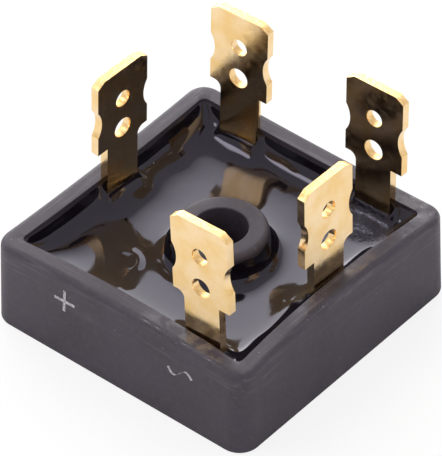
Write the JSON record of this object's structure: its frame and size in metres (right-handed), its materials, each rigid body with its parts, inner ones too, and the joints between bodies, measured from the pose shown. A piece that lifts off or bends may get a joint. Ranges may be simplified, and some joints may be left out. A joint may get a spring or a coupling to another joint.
{
  "type": "bridge rectifier",
  "caption": "Square potted bridge rectifier with a central screw tube, a heat-sink plate below and stamped tab terminals standing out of the resin.",
  "frame": {"origin": "centre of the seat, where the axis of the screw tube meets the underside", "axes": "+Z along the screw tube, up towards the terminals; +X towards the side of the negative terminal; -Y is the side that carries the polarity marks"},
  "size_m": [0.0288, 0.0288, 0.0215],
  "materials": {
    "case_plastic": "fine-textured moulded thermoset, charcoal",
    "plate_aluminium": "rolled and punched sheet, bare",
    "copper": "stamped copper sheet, sealed in resin",
    "silicon": "sawn and passivated silicon, sealed in resin",
    "solder": "reflowed solder, sealed in resin",
    "terminal_brass": "stamped sheet with bright gold-coloured plating",
    "resin": "cast black epoxy with a self-levelled glossy surface"
  },
  "bodies": {
    "root": {"shell": "case_plastic", "base_plate": "plate_aluminium", "bus_positive": "copper", "bus_negative": "copper", "die_ac_1_high": "silicon", "die_ac_1_low": "silicon", "die_ac_2_high": "silicon", "die_ac_2_low": "silicon", "die_ac_3_high": "silicon", "die_ac_3_low": "silicon", "solder_under_dice": "solder", "solder_over_dice": "solder", "solder_feet": "solder", "strap_ac_1": "copper", "strap_ac_2": "copper", "strap_ac_3": "copper", "terminal_positive": "terminal_brass", "terminal_negative": "terminal_brass", "terminal_ac_1": "terminal_brass", "terminal_ac_2": "terminal_brass", "terminal_ac_3": "terminal_brass", "potting": "resin"}
  },
  "joints": []
}
